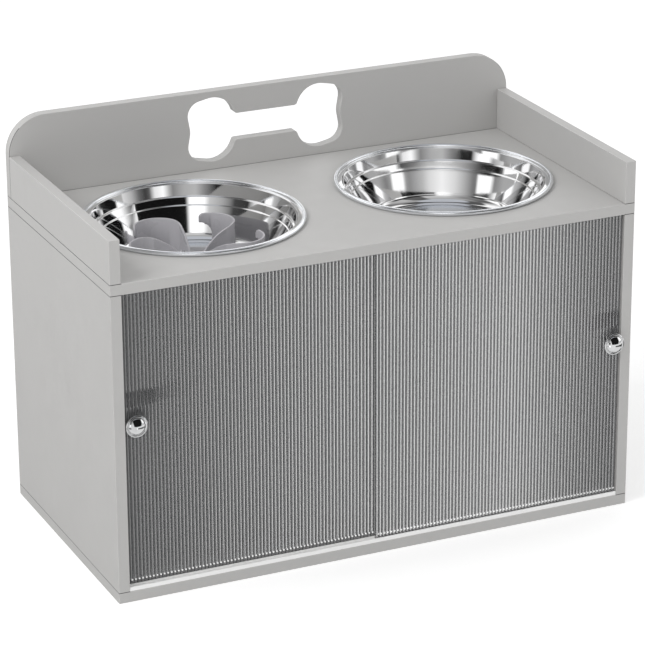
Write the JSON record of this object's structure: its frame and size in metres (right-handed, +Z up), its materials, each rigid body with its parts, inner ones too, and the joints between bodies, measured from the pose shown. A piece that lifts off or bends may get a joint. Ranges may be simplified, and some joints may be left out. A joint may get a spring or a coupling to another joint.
{
  "type": "elevated dog feeding station",
  "caption": "Grey board cabinet with steel bowls let into its deck, low side rails, a bone cut-out in the backboard and reeded sliding doors on chrome knobs.",
  "frame": {"origin": "centre of the cabinet's underside, on the floor", "axes": "+X to the right along the front, +Y from the front to the back, +Z up"},
  "size_m": [0.6, 0.3237, 0.442],
  "materials": {
    "grey_board": "satin light grey coating on fibreboard",
    "thin_board": "satin grey coating on thin hardboard",
    "track_white": "white extruded plastic",
    "beech": "plain wooden dowel",
    "zinc": "bright zinc plating",
    "reeded_clear": "clear grey reeded acrylic",
    "knob_chrome": "polished chrome",
    "washer_clear": "white nylon",
    "bowl_steel": "mirror-polished stainless steel sheet",
    "insert_grey": "satin grey moulded plastic"
  },
  "bodies": {
    "cabinet": {"bottom_panel": "grey_board", "left_side_panel": "grey_board", "right_side_panel": "grey_board", "back_panel": "thin_board", "top_panel": "grey_board", "backboard": "grey_board", "left_rail": "grey_board", "right_rail": "grey_board", "bottom_track": "track_white", "wood_dowels": "beech", "cam_bolts": "zinc", "cam_locks": "zinc", "base_screws": "zinc", "rail_screws": "zinc", "backboard_screws": "zinc", "track_screws": "zinc"},
    "left_door_body": {"left_door": "reeded_clear", "left_knob": "knob_chrome", "left_knob_screw": "zinc", "left_knob_washer": "washer_clear"},
    "right_door_body": {"right_door": "reeded_clear", "right_knob": "knob_chrome", "right_knob_screw": "zinc", "right_knob_washer": "washer_clear"},
    "left_bowl_body": {"left_bowl": "bowl_steel"},
    "insert_body": {"slow_feeder_insert": "insert_grey"},
    "right_bowl_body": {"right_bowl": "bowl_steel"}
  },
  "joints": [
    {"name": "left_door_slide", "type": "slide", "parent": "cabinet", "child": "left_door_body", "axis": [1, 0, 0], "range_m": [0, 0.255]},
    {"name": "right_door_slide", "type": "slide", "parent": "cabinet", "child": "right_door_body", "axis": [1, 0, 0], "range_m": [-0.255, 0]},
    {"name": "left_bowl_lift", "type": "slide", "parent": "cabinet", "child": "left_bowl_body", "axis": [0, 0, 1], "range_m": [0, 0.07]},
    {"name": "insert_lift", "type": "slide", "parent": "left_bowl_body", "child": "insert_body", "axis": [0, 0, 1], "range_m": [0, 0.07]},
    {"name": "right_bowl_lift", "type": "slide", "parent": "cabinet", "child": "right_bowl_body", "axis": [0, 0, 1], "range_m": [0, 0.07]}
  ]
}
